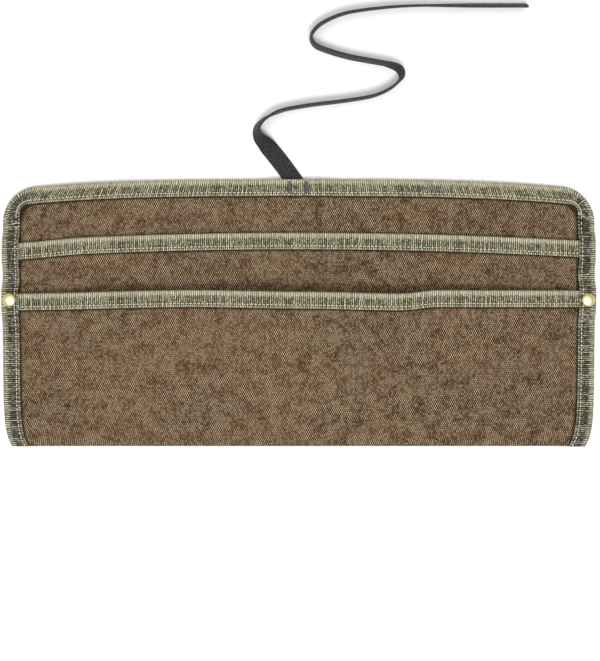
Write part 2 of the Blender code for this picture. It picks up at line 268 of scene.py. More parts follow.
def make_cloth(name, points, thickness, material, smooth_edges=0.0, folded=False, tape_foot=None):
    """A sheet through rows of points, with a wall of even thickness. Its map "cloth" is in metres of cloth.
    On a folded tape its first number runs from either free edge to the fold. The map "seam" of a panel
    holds the distance from the nearest tape."""
    rows, columns = points.shape[:2]
    mesh = bpy.data.meshes.new(name)
    corner = np.arange(rows * columns).reshape(rows, columns)
    faces = np.stack([corner[:-1, :-1], corner[:-1, 1:], corner[1:, 1:], corner[1:, :-1]], axis=2)
    mesh.from_pydata(points.reshape(-1, 3).tolist(), [], faces.reshape(-1, 4).tolist())
    across = lengths_along(points, 1)
    if folded:
        across = np.minimum(across, across[-1] - across)
    laid = np.stack(np.meshgrid(across, lengths_along(points, 0)), axis=2).reshape(-1, 2)
    loops = np.empty(len(mesh.loops), dtype=int)
    mesh.loops.foreach_get("vertex_index", loops)
    mesh.uv_layers.new(name="cloth").data.foreach_set("uv", laid[loops].ravel())
    if tape_foot:
        distance = seam_distance(points, tape_foot).ravel()[loops]
        seam = np.stack([distance, np.zeros_like(distance)], axis=1)
        mesh.uv_layers.new(name="seam").data.foreach_set("uv", seam.ravel())
    mesh.materials.append(material)
    cloth = bpy.data.objects.new(name, mesh)
    bpy.context.scene.collection.objects.link(cloth)
    bpy.context.view_layer.objects.active = cloth
    wall = cloth.modifiers.new("wall", "SOLIDIFY")
    wall.thickness = thickness
    wall.offset = 0
    wall.use_even_offset = True
    bpy.ops.object.modifier_apply(modifier=wall.name)
    if smooth_edges:
        rounding = cloth.modifiers.new("rounding", "BEVEL")
        rounding.width = smooth_edges
        rounding.segments = 2
        rounding.limit_method = "ANGLE"
        rounding.angle_limit = math.radians(60)
        bpy.ops.object.modifier_apply(modifier=rounding.name)
    mesh.shade_smooth()
    return cloth


def colour(code):
    """An sRGB hex value as the linear colour that a shader takes."""
    channels = [int(code[place:place + 2], 16) / 255 for place in (1, 3, 5)]
    linear = [c / 12.92 if c <= 0.04045 else ((c + 0.055) / 1.055) ** 2.4 for c in channels]
    return (*linear, 1)


def add_node(material, kind, inputs=(), **settings):
    """Adds a node, sets it and links or fills its inputs."""
    node = material.node_tree.nodes.new(kind)
    for setting, value in settings.items():
        setattr(node, setting, value)
    for socket, value in dict(inputs).items():
        if isinstance(value, bpy.types.NodeSocket):
            material.node_tree.links.new(value, node.inputs[socket])
        else:
            node.inputs[socket].default_value = value
    return node.outputs


def new_material(name, roughness):
    """A material and its shader."""
    material = bpy.data.materials.new(name)
    material.use_nodes = True
    shader = material.node_tree.nodes["Principled BSDF"]
    shader.inputs["Roughness"].default_value = roughness
    return material, shader


# Waxed cotton duck in a plain weave: brown, matt, with pale crowns where the wax has rubbed off its
# threads, broad darker blotches, chalky fold marks, and painted shade along the tapes. Threads are about
# 0.57 mm apart across it. Up it they are drawn 1.14 mm apart, twice the real spacing, because the picture
# has only 1.75 pixels to a millimetre.
WARP_SPACING = 0.57 * MM
WEFT_SPACING = 1.14 * MM
DUCK_DARK = "#120904"
DUCK_BROWN = "#47331f"
DUCK_WARM = "#5c432c"
DUCK_CROWN = "#c6ad8c"
DUCK_CHALK = "#8f7a62"
FACTOR, MIX_A, MIX_B, MIXED = 0, 6, 7, 2  # the colour sockets of a Mix node

duck, shader = new_material("waxed cotton duck", 0.9)
shader.inputs["Specular IOR Level"].default_value = 0.15
laid = add_node(duck, "ShaderNodeUVMap", uv_map="cloth")["UV"]
wander = add_node(duck, "ShaderNodeTexNoise", {"Vector": laid, "Scale": 150, "Detail": 1})["Color"]
threads = add_node(
    duck,
    "ShaderNodeVectorMath",
    {0: laid, 1: (1 / WARP_SPACING, 1 / WEFT_SPACING, 0), 2: wander},
    operation="MULTIPLY_ADD",
)["Vector"]
crossing = add_node(duck, "ShaderNodeVectorMath", {0: threads}, operation="FLOOR")["Vector"]
dye = add_node(duck, "ShaderNodeTexWhiteNoise", {"Vector": crossing}, noise_dimensions="2D")["Value"]
turns = add_node(duck, "ShaderNodeVectorMath", {0: threads, "Scale": math.pi}, operation="SCALE")["Vector"]
axes = add_node(duck, "ShaderNodeSeparateXYZ", {0: turns})
warp = add_node(duck, "ShaderNodeMath", {0: axes["X"]}, operation="SINE")["Value"]
weft = add_node(duck, "ShaderNodeMath", {0: axes["Y"]}, operation="SINE")["Value"]
weave = add_node(duck, "ShaderNodeMath", {0: warp, 1: weft}, operation="MULTIPLY")["Value"]
weave = add_node(
    duck,
    "ShaderNodeMapRange",
    {"Value": weave, "From Min": -0.5, "From Max": 0.5, "To Min": -1, "To Max": 1},
)["Result"]
patches = add_node(
    duck, "ShaderNodeTexNoise", {"Vector": laid, "Scale": 120, "Detail": 2, "Roughness": 0.6}
)["Fac"]
crispness = add_node(
    duck,
    "ShaderNodeMapRange",
    {"Value": patches, "From Min": 0.35, "From Max": 0.65, "To Min": 0.3, "To Max": 0.85},
)["Result"]
weave = add_node(duck, "ShaderNodeMath", {0: weave, 1: crispness}, operation="MULTIPLY")["Value"]
relief = add_node(duck, "ShaderNodeMath", {0: dye, 1: 0.5, 2: weave}, operation="MULTIPLY_ADD")["Value"]
crowns = add_node(
    duck, "ShaderNodeMapRange", {"Value": relief, "From Min": 0.35, "From Max": 1.1, "To Max": 0.9}
)["Result"]
hollows = add_node(
    duck, "ShaderNodeMapRange", {"Value": relief, "From Min": 0.2, "From Max": -0.35, "To Max": 0.95}
)["Result"]
# The blotches lean paler and warmer towards the left of the roll, and darker towards the right.
place = add_node(duck, "ShaderNodeTexCoord")["Object"]
sides = add_node(duck, "ShaderNodeSeparateXYZ", {0: place})
leftward_paling = add_node(
    duck,
    "ShaderNodeMapRange",
    {"Value": sides["X"], "From Min": -60 * MM, "From Max": 60 * MM, "To Min": 0.05, "To Max": -0.05},
)["Result"]
blotches = add_node(
    duck, "ShaderNodeTexNoise", {"Vector": laid, "Scale": 22, "Detail": 5, "Roughness": 0.6}
)["Fac"]
blotches = add_node(duck, "ShaderNodeMath", {0: blotches, 1: leftward_paling}, operation="ADD")["Value"]
blotches = add_node(
    duck, "ShaderNodeMapRange", {"Value": blotches, "From Min": 0.36, "From Max": 0.64}
)["Result"]
body = add_node(
    duck,
    "ShaderNodeMix",
    {FACTOR: blotches, MIX_A: colour(DUCK_BROWN), MIX_B: colour(DUCK_WARM)},
    data_type="RGBA",
)[MIXED]
body = add_node(
    duck,
    "ShaderNodeMix",
    {FACTOR: hollows, MIX_A: body, MIX_B: colour(DUCK_DARK)},
    data_type="RGBA",
)[MIXED]
body = add_node(
    duck,
    "ShaderNodeMix",
    {FACTOR: crowns, MIX_A: body, MIX_B: colour(DUCK_CROWN)},
    data_type="RGBA",
)[MIXED]
# Chalky marks follow the crease down the middle of the pocket, broken up as rubbed wax is.
streaks = add_node(
    duck,
    "ShaderNodeTexNoise",
    {"Vector": laid, "Scale": 95, "Detail": 4, "Roughness": 0.7, "Distortion": 0.8},
)["Fac"]
rubbed = add_node(
    duck, "ShaderNodeMapRange", {"Value": streaks, "From Min": 0.55, "From Max": 0.75, "To Max": 0.3}
)["Result"]
nearness = add_node(duck, "ShaderNodeMath", {0: sides["X"], 1: 7 * MM}, operation="SUBTRACT")["Value"]
nearness = add_node(duck, "ShaderNodeMath", {0: nearness}, operation="ABSOLUTE")["Value"]
nearness = add_node(
    duck,
    "ShaderNodeMapRange",
    {"Value": nearness, "From Min": 3 * MM, "From Max": 40 * MM, "To Min": 1.6, "To Max": 0.45},
)["Result"]
rubbed = add_node(duck, "ShaderNodeMath", {0: rubbed, 1: nearness}, operation="MULTIPLY")["Value"]
body = add_node(
    duck,
    "ShaderNodeMix",
    {FACTOR: rubbed, MIX_A: body, MIX_B: colour(DUCK_CHALK)},
    data_type="RGBA",
)[MIXED]
# Painted shade: the cloth darkens within 1.6 mm of each tape's free edge, where the tape shades it.
groove = add_node(duck, "ShaderNodeUVMap", uv_map="seam")["UV"]
groove = add_node(duck, "ShaderNodeSeparateXYZ", {0: groove})["X"]
groove = add_node(
    duck,
    "ShaderNodeMapRange",
    {"Value": groove, "From Min": 0.5 * MM, "From Max": 1.6 * MM, "To Min": 0.8, "To Max": 0},
)["Result"]
# The painted shade beside the tapes, in the duck's darkest colour.
body = add_node(
    duck,
    "ShaderNodeMix",
    {FACTOR: groove, MIX_A: body, MIX_B: colour(DUCK_DARK)},
    data_type="RGBA",
)[MIXED]
raised = add_node(
    duck, "ShaderNodeBump", {"Height": relief, "Strength": 0.5, "Distance": 0.3 * MM}
)["Normal"]
duck.node_tree.links.new(body, shader.inputs["Base Color"])
duck.node_tree.links.new(raised, shader.inputs["Normal"])

half_columns = np.concatenate([np.linspace(0, 1, 61)[1:], 1 + np.linspace(0, 1, 15)[1:]])
columns = np.concatenate([-half_columns[::-1], [0], half_columns])
back_rows = np.concatenate([np.linspace(5, 4, 25), np.linspace(4, 3, 8)[1:], np.linspace(3, 0, 37)[1:]])
front_rows = np.concatenate([np.linspace(0, 1, 45), np.linspace(1, 2 - TAPE_STEP / TAPE_WIDTH, 8)[1:]])
back = lattice(columns, back_rows, lambda column, row: back_underside(column, row) + CANVAS / 2)
front = lattice(columns, front_rows, lambda column, row: front_underside(column, row) + CANVAS / 2)
FOLD_STEPS = 14
turn, column = np.meshgrid(np.linspace(0, math.pi, FOLD_STEPS + 1)[1:-1], columns, indexing="ij")
fold_y = FOLD_LINE - FOLD_REACH * np.sin(turn)
fold_middle = (back[-1, :, 2] + front[0, :, 2]) / 2
fold_height = fold_middle - (front[0, :, 2] - back[-1, :, 2]) / 2 * np.cos(turn)
fold = np.stack([column_place(column, fold_y), fold_y, fold_height], axis=2)
shell = make_cloth(
    "canvas_shell",
    np.concatenate([back, fold, front]),
    CANVAS,
    duck,
    tape_foot=lambda x: mouth_height(x) - TAPE_WIDTH,
)
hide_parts("shell")
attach(shell, "root")

# Lining
# A second piece of the same duck behind the pocket, which doubles the back where it is used most. It hangs
# from its bound upper edge, which is sewn to the back panel, and ends just above the fold.
LINING_FOOT = 2.5 * MM

foot = LINING_FOOT / (MOUTH_LINE - TAPE_WIDTH - FOLD_LINE)
lining_rows = np.concatenate([np.linspace(foot, 3, 50), np.linspace(3, 4 - TAPE_STEP / TAPE_WIDTH, 8)[1:]])
lining = make_cloth(
    "canvas_lining",
    lattice(columns, lining_rows, lambda column, row: lining_underside(column, row) + CANVAS / 2),
    CANVAS,
    duck,
    tape_foot=lambda x: lining_height(x) - TAPE_WIDTH,
)
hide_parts("lining")
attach(lining, "root")

# Lining binding
# Olive cotton twill tape, 19 mm wide, folded over the lining's edge and sewn through to the shell with one
# row of lockstitch close to its free edge. The thread pulls the tape in where it goes through.
LEG_POINTS = 9
BEND_STEPS = 4
SPREAD = CLEARANCE + TAPE / 2  # from the cloth that a tape holds to the middle of the tape


def press(distance):
    """How far a tape's leg is pulled towards the cloth, at a distance inside its outer edge."""
    stitched = STITCH_DENT * hump(distance, TAPE_WIDTH - STITCH_INSET, 1.5 * MM)
    return stitched + 0.14 * MM * ease(distance, TAPE_WIDTH - 1.2 * MM, TAPE_WIDTH)


def folded_tape(bottom, top):
    """The tape's section at each station. bottom and top give the faces of the cloth that it holds, for
    distances inside the tape's outer edge. Returns distances and heights."""
    leg = np.linspace(TAPE_WIDTH, TAPE_STEP, LEG_POINTS)
    turn = np.linspace(0, math.pi / 2, BEND_STEPS + 1)[1:]
    edge = np.array([TAPE_STEP])
    under = bottom(leg) - SPREAD + press(leg)
    over = top(leg) + SPREAD - press(leg)
    low_bend = bottom(edge) - SPREAD * np.cos(turn)
    high_bend = top(edge) + SPREAD * np.cos(turn)
    bend = TAPE_STEP - SPREAD * np.sin(turn)
    distances = np.concatenate([leg, bend, bend[::-1], leg[::-1]])
    heights = np.concatenate([under, low_bend, high_bend[:, ::-1], over[:, ::-1]], axis=1)
    return np.broadcast_to(distances, heights.shape), heights


def panel_tape(edge_row, underside):
    """Tape along a panel's upper edge, one station for each column."""
    station = columns[:, None]

    def bottom(distance):
        column, row = np.broadcast_arrays(station, edge_row - distance / TAPE_WIDTH)
        return underside(column, row)

    distances, heights = folded_tape(bottom, lambda distance: bottom(distance) + CANVAS)
    column, row = np.broadcast_arrays(station, edge_row - distances / TAPE_WIDTH)
    y = row_height(column, row)
    return np.stack([column_place(column, y), y, heights], axis=2)


# Cotton twill tape: matt olive, its ribs running across it and broken into beads by the weft. Ribs are
# 0.6 mm apart in the real tape, and are drawn 1.2 mm apart, which is two pixels of the picture. Its
# selvedges are rubbed pale, and its rounded fold gets a painted highlight, paler where light falls on it.
# The side tapes are greyer between them. Each stitch has needle holes at its ends, their shade painted dark.
RIB = 1.2 * MM
BEAD = 0.8 * MM
STITCH_PITCH = 2.3 * MM
TAPE_SHADOW = "#17160c"
TAPE_OLIVE = "#736e54"
TAPE_PALE = "#d3cfb2"
TAPE_GREY = "#5e5c4e"


def make_tape_material(name, side_grey_share):
    """The last argument is how far the tape's sides, past the corners, go to their grey colour."""
    tape, shader = new_material(name, 0.9)
    shader.inputs["Specular IOR Level"].default_value = 0.15
    laid = add_node(tape, "ShaderNodeUVMap", uv_map="cloth")["UV"]
    wander = add_node(tape, "ShaderNodeTexNoise", {"Vector": laid, "Scale": 210, "Detail": 1})["Color"]
    ribs = add_node(
        tape,
        "ShaderNodeVectorMath",
        {0: laid, 1: (1 / BEAD, 1 / RIB, 0), 2: wander},
        operation="MULTIPLY_ADD",
    )["Vector"]
    bead = add_node(tape, "ShaderNodeVectorMath", {0: ribs}, operation="FLOOR")["Vector"]
    bead = add_node(tape, "ShaderNodeTexWhiteNoise", {"Vector": bead}, noise_dimensions="2D")["Value"]
    rib = add_node(tape, "ShaderNodeVectorMath", {0: ribs, 1: (0.12, 1, 0)}, operation="MULTIPLY")["Vector"]
    rib = add_node(tape, "ShaderNodeVectorMath", {0: rib}, operation="FLOOR")["Vector"]
    rib = add_node(tape, "ShaderNodeTexWhiteNoise", {"Vector": rib}, noise_dimensions="2D")["Value"]
    turn = add_node(tape, "ShaderNodeSeparateXYZ", {0: ribs})["Y"]
    turn = add_node(tape, "ShaderNodeMath", {0: turn, 1: math.tau}, operation="MULTIPLY")["Value"]
    crown = add_node(tape, "ShaderNodeMath", {0: turn}, operation="COSINE")["Value"]
    crown = add_node(
        tape, "ShaderNodeMapRange", {"Value": crown, "From Min": 0.7, "From Max": -0.7}
    )["Result"]
    tone = add_node(tape, "ShaderNodeMath", {0: rib, 1: 0.8, 2: bead}, operation="MULTIPLY_ADD")["Value"]
    tone = add_node(tape, "ShaderNodeMath", {0: tone, 1: 0.55, 2: 0.15}, operation="MULTIPLY_ADD")["Value"]
    relief = add_node(tape, "ShaderNodeMath", {0: crown, 1: tone}, operation="MULTIPLY")["Value"]
    inset = add_node(tape, "ShaderNodeSeparateXYZ", {0: laid})
    selvedge = add_node(
        tape,
        "ShaderNodeMapRange",
        {"Value": inset["X"], "From Min": 0.4 * MM, "From Max": 1 * MM, "To Min": 0.25, "To Max": 0},
    )["Result"]
    # Painted highlight: the tape turns paler over its rounded fold, where light falls on it.
    fold = add_node(
        tape,
        "ShaderNodeMapRange",
        {"Value": inset["X"], "From Min": 5.8 * MM, "From Max": 7.6 * MM, "To Max": 0.3},
    )["Result"]
    place = add_node(tape, "ShaderNodeTexCoord")["Object"]
    across = add_node(tape, "ShaderNodeSeparateXYZ", {0: place})["X"]
    across = add_node(tape, "ShaderNodeMath", {0: across}, operation="ABSOLUTE")["Value"]
    # The side tapes are drawn greyer past the corners.
    side_greying = add_node(
        tape,
        "ShaderNodeMapRange",
        {"Value": across, "From Min": STRAIGHT_HALF, "From Max": HALF_WIDTH - TAPE_WIDTH, "To Max": side_grey_share},
    )["Result"]
    # This paleness is partly real wear on the selvedges and partly the fold's painted highlight.
    rubbed = add_node(tape, "ShaderNodeMath", {0: selvedge, 1: fold}, operation="ADD")["Value"]
    tone_with_fold_highlight = add_node(
        tape, "ShaderNodeMath", {0: side_greying, 1: -0.12, 2: relief}, operation="MULTIPLY_ADD"
    )["Value"]
    tone_with_fold_highlight = add_node(tape, "ShaderNodeMath", {0: rubbed, 1: 0.6, 2: tone_with_fold_highlight}, operation="MULTIPLY_ADD")["Value"]
    pale = add_node(
        tape, "ShaderNodeMapRange", {"Value": tone_with_fold_highlight, "From Min": 0.42, "From Max": 1, "To Max": 0.95}
    )["Result"]
    dark = add_node(
        tape, "ShaderNodeMapRange", {"Value": tone_with_fold_highlight, "From Min": 0.38, "From Max": 0.02, "To Max": 0.9}
    )["Result"]
    body = add_node(
        tape,
        "ShaderNodeMix",
        {FACTOR: side_greying, MIX_A: colour(TAPE_OLIVE), MIX_B: colour(TAPE_GREY)},
        data_type="RGBA",
    )[MIXED]
    # Selvedge wear and the fold's painted highlight, mixed in as the pale colour.
    body = add_node(
        tape,
        "ShaderNodeMix",
        {FACTOR: rubbed, MIX_A: body, MIX_B: colour(TAPE_PALE)},
        data_type="RGBA",
    )[MIXED]
    body = add_node(
        tape,
        "ShaderNodeMix",
        {FACTOR: pale, MIX_A: body, MIX_B: colour(TAPE_PALE)},
        data_type="RGBA",
    )[MIXED]
    body = add_node(
        tape,
        "ShaderNodeMix",
        {FACTOR: dark, MIX_A: body, MIX_B: colour(TAPE_SHADOW)},
        data_type="RGBA",
    )[MIXED]
    # Painted shade: dark spots at both ends of each stitch stand for the shade inside its needle holes.
    off_row = add_node(
        tape, "ShaderNodeMath", {0: inset["X"], 1: STITCH_INSET}, operation="SUBTRACT"
    )["Value"]
    beside = add_node(
        tape, "ShaderNodeMath", {0: inset["Y"], 1: STITCH_PITCH / 2}, operation="PINGPONG"
    )["Value"]
    off_hole = add_node(tape, "ShaderNodeCombineXYZ", {"X": off_row, "Y": beside})["Vector"]
    off_hole = add_node(tape, "ShaderNodeVectorMath", {0: off_hole}, operation="LENGTH")["Value"]
    needle_hole_shade = add_node(
        tape,
        "ShaderNodeMapRange",
        {"Value": off_hole, "From Min": 0.35 * MM, "From Max": 0.75 * MM, "To Min": 0.95, "To Max": 0},
    )["Result"]
    # The needle holes' painted shade, in the shadow colour.
    body = add_node(
        tape,
        "ShaderNodeMix",
        {FACTOR: needle_hole_shade, MIX_A: body, MIX_B: colour(TAPE_SHADOW)},
        data_type="RGBA",
    )[MIXED]
    raised = add_node(
        tape, "ShaderNodeBump", {"Height": relief, "Strength": 0.5, "Distance": 0.3 * MM}
    )["Normal"]
    tape.node_tree.links.new(body, shader.inputs["Base Color"])
    tape.node_tree.links.new(raised, shader.inputs["Normal"])
    return tape


twill = make_tape_material("cotton twill tape", 0.0)
lining_points = panel_tape(4, lining_underside)
lining_tape = make_cloth("lining_tape", lining_points, TAPE, twill, folded=True)
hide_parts("lining_binding")
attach(lining_tape, "root")

# Seam threads
# Lockstitch in bonded pale olive thread, one row along each tape close to its free edge, with a stitch every
# 2.3 mm. The row on the lining's tape goes through to the outside of the shell.
STITCH_LENGTH = 1.9 * MM
THREAD_RADIUS = 0.3 * MM
THREAD_FLATNESS = 0.75

# Rings of one stitch: share of half its length, share of its radius.
STITCH_RINGS = ((-1.0, 0.25), (-0.8, 0.8), (0.0, 1.0), (0.8, 0.8), (1.0, 0.25))
THREAD_SIDES = 6

# Bonded cotton thread: pale olive and matt, with darker and lighter lengths where its plies turn.
THREAD_OLIVE = "#a39d80"
THREAD_PALE = "#efe9d2"

thread, shader = new_material("bonded cotton thread", 0.6)
ply = add_node(thread, "ShaderNodeTexCoord")["Object"]
ply = add_node(thread, "ShaderNodeTexNoise", {"Vector": ply, "Scale": 900, "Detail": 1})["Fac"]
body = add_node(
    thread,
    "ShaderNodeMix",
    {FACTOR: ply, MIX_A: colour(THREAD_OLIVE), MIX_B: colour(THREAD_PALE)},
    data_type="RGBA",
)[MIXED]
thread.node_tree.links.new(body, shader.inputs["Base Color"])


def stitches_along(line, run):
    """Middles and directions of stitches along a line of points, whose places along the seam are in run."""
    stops = np.arange(STITCH_PITCH / 2, run[-1], STITCH_PITCH)
    middles = np.stack([np.interp(stops, run, line[:, axis]) for axis in range(3)], axis=1)
    ahead = np.stack([np.interp(stops + STITCH_PITCH / 4, run, line[:, axis]) for axis in range(3)], axis=1)
    directions = ahead - middles
    return middles, directions / np.linalg.norm(directions, axis=1)[:, None]


def make_stitches(name, middles, directions, length, material):
    """One short capsule of thread for each stitch, lying flat on the cloth."""
    rings = np.array(STITCH_RINGS)
    turns = np.arange(THREAD_SIDES) * math.tau / THREAD_SIDES
    along = np.repeat(rings[:, 0], THREAD_SIDES) * length / 2
    side = np.outer(rings[:, 1], np.cos(turns)).ravel() * THREAD_RADIUS
    up = np.outer(rings[:, 1], np.sin(turns)).ravel() * THREAD_RADIUS * THREAD_FLATNESS
    lateral = np.cross([0, 0, 1], directions)
    lateral /= np.linalg.norm(lateral, axis=1)[:, None]
    above = np.cross(directions, lateral)
    points = (
        middles[:, None]
        + along[:, None] * directions[:, None]
        + side[:, None] * lateral[:, None]
        + up[:, None] * above[:, None]
    )
    faces = [tuple(range(THREAD_SIDES))[::-1]]
    for ring in range(len(rings) - 1):
        for place in range(THREAD_SIDES):
            beside = (place + 1) % THREAD_SIDES
            low, high = ring * THREAD_SIDES, (ring + 1) * THREAD_SIDES
            faces.append((low + place, low + beside, high + beside, high + place))
    faces.append(tuple(high + place for place in range(THREAD_SIDES)))
    each = len(along)
    all_faces = [
        tuple(corner + each * number for corner in face) for number in range(len(middles)) for face in faces
    ]
    mesh = bpy.data.meshes.new(name)
    mesh.from_pydata(points.reshape(-1, 3).tolist(), [], all_faces)
    mesh.materials.append(material)
    mesh.shade_smooth()
    stitches = bpy.data.objects.new(name, mesh)
    bpy.context.scene.collection.objects.link(stitches)
    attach(stitches, "root")
    return stitches


def seam_line(points, upper):
    """The line on a tape's outer face along which its stitches run, from the tape's own points."""
    share = STITCH_INSET / (TAPE_WIDTH - TAPE_STEP) * (LEG_POINTS - 1)
    before = int(share)
    leg = points[:, ::-1] if upper else points
    line = leg[:, before] + (share - before) * (leg[:, before + 1] - leg[:, before])
    lift = TAPE / 2 + THREAD_RADIUS * THREAD_FLATNESS * 0.3
    return line + np.array([0, 0, lift if upper else -lift])


def sew(name, points, lower=True):
    """Stitches along both faces of a tape, or its upper face only. Their ends meet its needle holes."""
    run = lengths_along(points, 0)
    middles, directions = stitches_along(seam_line(points, True), run)
    if lower:
        under_middles, under_directions = stitches_along(seam_line(points, False), run)
        middles = np.concatenate([middles, under_middles])
        directions = np.concatenate([directions, under_directions])
    return make_stitches(name, middles, directions, STITCH_LENGTH, thread)


sew("lining_seam", lining_points, lower=False)
seam_row = 3 + STITCH_INSET / TAPE_WIDTH
outside = lattice(columns[8:-8], np.array([seam_row]), back_underside)[0]
outside[:, 2] += THREAD_RADIUS * THREAD_FLATNESS * 0.4
middles, directions = stitches_along(outside, lengths_along(outside[:, None], 0))
make_stitches("lining_seam_outside", middles, directions, STITCH_LENGTH, thread)

# Pocket binding
# The same tape folded over the mouth of the pocket. It stands open with the front panel.
pocket_points = panel_tape(2, front_underside)
pocket_tape = make_cloth("pocket_tape", pocket_points, TAPE, twill, folded=True)
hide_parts("pocket_binding")
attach(pocket_tape, "root")
sew("pocket_seam", pocket_points)

# Edge binding
# One length of the tape goes up the left side, round the flap and down the right side, over every layer.
# It is eased round the corners, and its ends are cut off flush with the bottom fold.
side_rows = np.concatenate([
    np.linspace((BOTTOM - FOLD_LINE) / (MOUTH_LINE - TAPE_WIDTH - FOLD_LINE), 0.85, 40)[:-1],
    np.linspace(0.85, 4.7, 120),
])
flap_columns = np.concatenate([np.linspace(1, 2, 31)[::-1], np.linspace(1, 0, 81)[1:]])
flap_columns = np.concatenate([-flap_columns, flap_columns[-2::-1]])


def side_tape(side, rows):
    """Tape up a side, one station for each row."""
    station = rows[:, None]
    edge = np.full_like(station, 2.0)
    bottom = back_underside(edge, station)
    top = seam_top(station)
    distances, heights = folded_tape(
        lambda distance: np.broadcast_to(bottom, (len(rows), len(distance))),
        lambda distance: np.broadcast_to(top, (len(rows), len(distance))),
    )
    y = np.broadcast_to(row_height(side * edge, station), heights.shape)
    return np.stack([side * (half_width(y) - distances), y, heights], axis=2)


def flap_tape(stations):
    """Tape round the flap, one station for each column."""
    station = stations[:, None]
    bottom = back_underside(station, np.full_like(station, 5.0))
    distances, heights = folded_tape(
        lambda distance: np.broadcast_to(bottom, (len(stations), len(distance))),
        lambda distance: np.broadcast_to(bottom + CANVAS, (len(stations), len(distance))),
    )
    column = np.broadcast_to(station, heights.shape)
    return np.stack([*flap_outline(column, distances), heights], axis=2)


grey_sided_twill = make_tape_material("grey-sided cotton twill tape", 1.0)
edge_points = np.concatenate([
    side_tape(-1, side_rows),
    flap_tape(flap_columns),
    side_tape(1, side_rows[::-1]),
])
edge_tape = make_cloth("edge_tape", edge_points, TAPE, grey_sided_twill, folded=True)
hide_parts("edge_binding")
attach(edge_tape, "root")
sew("edge_seam", edge_points)

# Rivets
# Domed caps of drawn brass on tubular shanks, set through every layer of the side seams at the mouth,
# where a pocket tears first. The backs are plain discs.
CAP_HEIGHT = 1.8 * MM
CAP_RIM = 0.35 * MM
BACK_THICKNESS = 0.8 * MM
BACK_RADIUS = 3.5 * MM
SHANK_RADIUS = 1.5 * MM
EDGE_BREAK = 0.15 * MM
DOME_STEPS = 12
TURNED_STEPS = 64

# Drawn brass: pale and bright, satin from handling, with faint scratches.
BRASS_YELLOW = "#f3e3a9"

brass, shader = new_material("drawn brass", 0.36)
shader.inputs["Base Color"].default_value = colour(BRASS_YELLOW)
shader.inputs["Metallic"].default_value = 1
place = add_node(brass, "ShaderNodeTexCoord")["Object"]
scuffs = add_node(brass, "ShaderNodeTexNoise", {"Vector": place, "Scale": 1800, "Detail": 3})["Fac"]
scuffs = add_node(
    brass, "ShaderNodeMapRange", {"Value": scuffs, "To Min": 0.28, "To Max": 0.44}
)["Result"]
brass.node_tree.links.new(scuffs, shader.inputs["Roughness"])


def turn_rivet(name, node):
    """A rivet turned ring by ring from the top of its dome down to the edge of its back."""
    low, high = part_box(node)
    centre = (low + high) / 2
    cap = (high.x - low.x) / 2
    rim = high.z - CAP_HEIGHT + CAP_RIM
    rings = []
    for step in range(1, DOME_STEPS + 1):
        turn = math.pi / 2 * step / DOME_STEPS
        rings.append((cap * math.sin(turn), rim + (high.z - rim) * math.cos(turn)))
    seat = high.z - CAP_HEIGHT - CLEARANCE + TAPE / 10
    rings += [
        (cap, seat + EDGE_BREAK),
        (cap - EDGE_BREAK, seat),
        (SHANK_RADIUS, seat),
        (SHANK_RADIUS, BACK_THICKNESS),
        (BACK_RADIUS - EDGE_BREAK, BACK_THICKNESS),
        (BACK_RADIUS, BACK_THICKNESS - EDGE_BREAK),
        (BACK_RADIUS, EDGE_BREAK),
        (BACK_RADIUS - EDGE_BREAK, 0),
    ]
    first = rings[0]
    bpy.ops.mesh.primitive_circle_add(
        vertices=TURNED_STEPS, radius=first[0], location=(centre.x, centre.y, first[1]), fill_type="NGON"
    )
    rivet = bpy.context.object
    rivet.name = name
    bpy.ops.object.mode_set(mode="EDIT")
    bpy.ops.mesh.select_all(action="SELECT")
    for (radius, height), (next_radius, next_height) in zip(rings, rings[1:]):
        bpy.ops.mesh.extrude_region_move(TRANSFORM_OT_translate={"value": (0, 0, next_height - height)})
        grow = next_radius / radius
        bpy.ops.transform.resize(value=(grow, grow, 1), center_override=(centre.x, centre.y, next_height))
    bpy.ops.mesh.select_all(action="SELECT")
    bpy.ops.mesh.normals_make_consistent(inside=False)
    bpy.ops.object.mode_set(mode="OBJECT")
    bpy.ops.object.transform_apply(location=True, rotation=True, scale=True)
    rivet.data.materials.append(brass)
    bpy.ops.object.shade_smooth_by_angle(angle=math.radians(40))
    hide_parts(node)
    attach(rivet, "root")


bpy.ops.object.select_all(action="DESELECT")
turn_rivet("brass_rivet_left", "rivet_left")
turn_rivet("brass_rivet_right", "rivet_right")

# Strap
# Black polyester webbing, 10 mm wide, sewn under the flap's edge. It leaves flat, turns onto its edge and
# lies that way in an S, as stiff webbing does when it has been wound up.
STRAP_WIDTH = 10 * MM
STRAP_THICKNESS = 1.5 * MM
STRAP_LENGTH = 333 * MM
STRAP_SEWN = 15 * MM
STRAP_OFFSET = 5.3 * MM
STRAP_STEPS = 480

# Route of the strap: share of its length, heading in degrees from +X.
STRAP_HEADINGS = (
    (0.000, 122),
    (0.104, 129),
    (0.133, 139),
    (0.149, 100),
    (0.159, 58),
    (0.180, 32),
    (0.222, 11),
    (0.288, 6),
    (0.356, 10),
    (0.394, 28),
    (0.424, 50),
    (0.433, 97),
    (0.450, 158),
    (0.476, 170),
    (0.517, 170),
    (0.588, 158),
    (0.606, 110),
    (0.618, 59),
    (0.643, 31),
    (0.702, 9),
    (0.832, 0),
    (1.000, 0),
)

# Twist of the strap: share of its length, degrees from flat on the table to standing on its edge.
STRAP_TWIST = (
    (0.00, 0),
    (0.11, 0),
    (0.13, 45),
    (0.15, 70),
    (0.20, 88),
    (0.42, 86),
    (0.44, 75),
    (0.47, 88),
    (0.62, 88),
    (0.70, 82),
    (0.83, 78),
    (0.90, 72),
    (1.00, 72),
)

